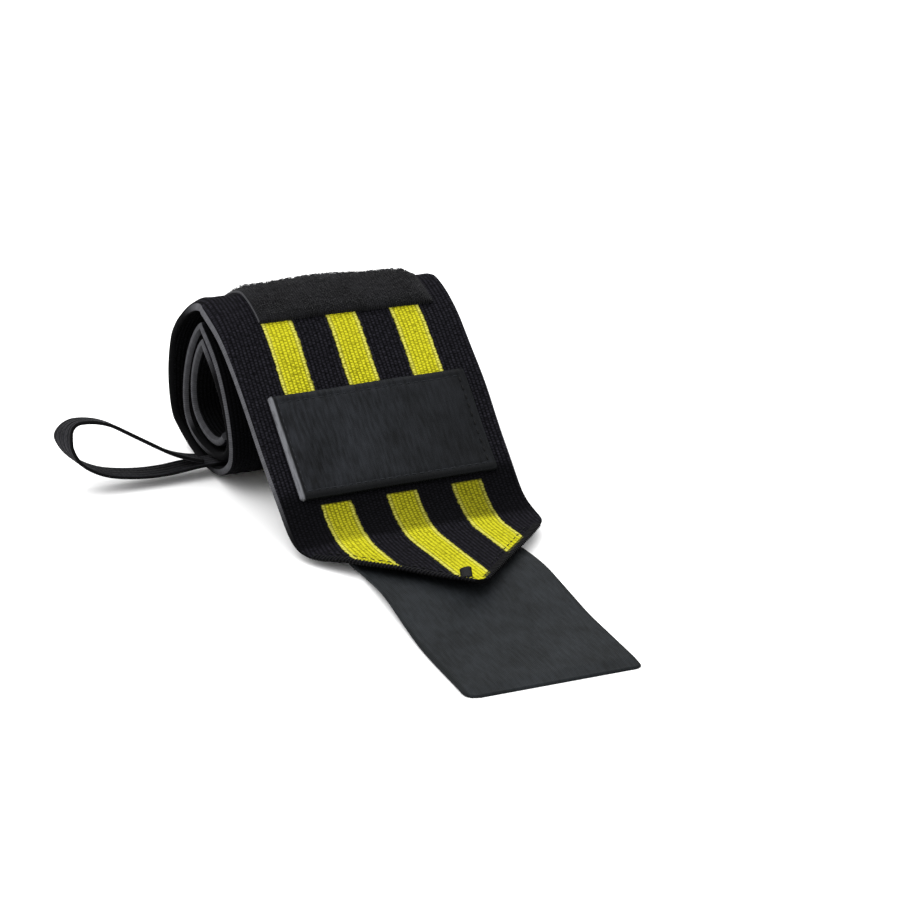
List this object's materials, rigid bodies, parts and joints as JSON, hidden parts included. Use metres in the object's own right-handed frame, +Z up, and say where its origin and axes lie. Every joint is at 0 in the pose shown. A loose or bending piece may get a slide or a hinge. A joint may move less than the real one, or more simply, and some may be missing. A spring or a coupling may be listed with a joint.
{
  "type": "wrist wrap",
  "caption": "Elastic lifting wrist wrap, partly unrolled: striped band in a roll with a thumb loop, pile tape, bare label patch and a pointed end with a flat hook tail.",
  "frame": {"origin": "on the floor under the middle of the whole part's box", "axes": "+Z up, the roll's axis along X with the thumb loop towards -X, the hook tail pointing to -Y"},
  "size_m": [0.1308, 0.2152, 0.06],
  "materials": {
    "band": "matt woven elastic with lemon yellow stripes on its outer face",
    "loop_tape": "fuzzy pile",
    "label_patch": "smooth, slightly glossy, bare",
    "hook_tail": "smooth woven tape back",
    "thumb_loop": "matt braided elastic"
  },
  "bodies": {
    "root": {"band": "band", "loop_tape": "loop_tape", "label_patch": "label_patch", "hook_tail": "hook_tail", "thumb_loop": "thumb_loop"}
  },
  "joints": []
}
